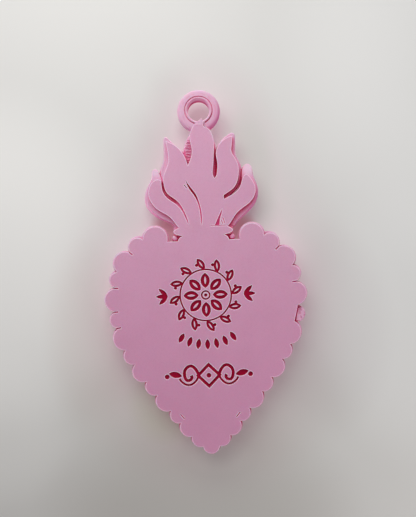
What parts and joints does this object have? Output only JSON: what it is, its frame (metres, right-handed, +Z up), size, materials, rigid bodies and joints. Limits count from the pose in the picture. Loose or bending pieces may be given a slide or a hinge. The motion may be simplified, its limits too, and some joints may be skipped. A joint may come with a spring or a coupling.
{
  "type": "heart charm",
  "caption": "Flat-faced votive heart charm with a scalloped edge, a collar, a crown of flames, engraved folk ornament and a round hanging ring.",
  "frame": {"origin": "centre of the hanging ring's bore", "axes": "+Z up towards the ring's top, +X to the right seen from the flat face, the flat face looks along -Y"},
  "size_m": [0.0512, 0.0066, 0.0918],
  "materials": {
    "charm_plastic": "matte pink printed plastic, fine layer lines"
  },
  "bodies": {
    "root": {"face_plate": "charm_plastic", "scalloped_border": "charm_plastic", "heart_body": "charm_plastic", "collar_body": "charm_plastic", "neck_beads": "charm_plastic", "centre_flame": "charm_plastic", "inner_left_flame": "charm_plastic", "inner_right_flame": "charm_plastic", "outer_left_flame": "charm_plastic", "outer_right_flame": "charm_plastic", "hanging_ring": "charm_plastic"}
  },
  "joints": []
}
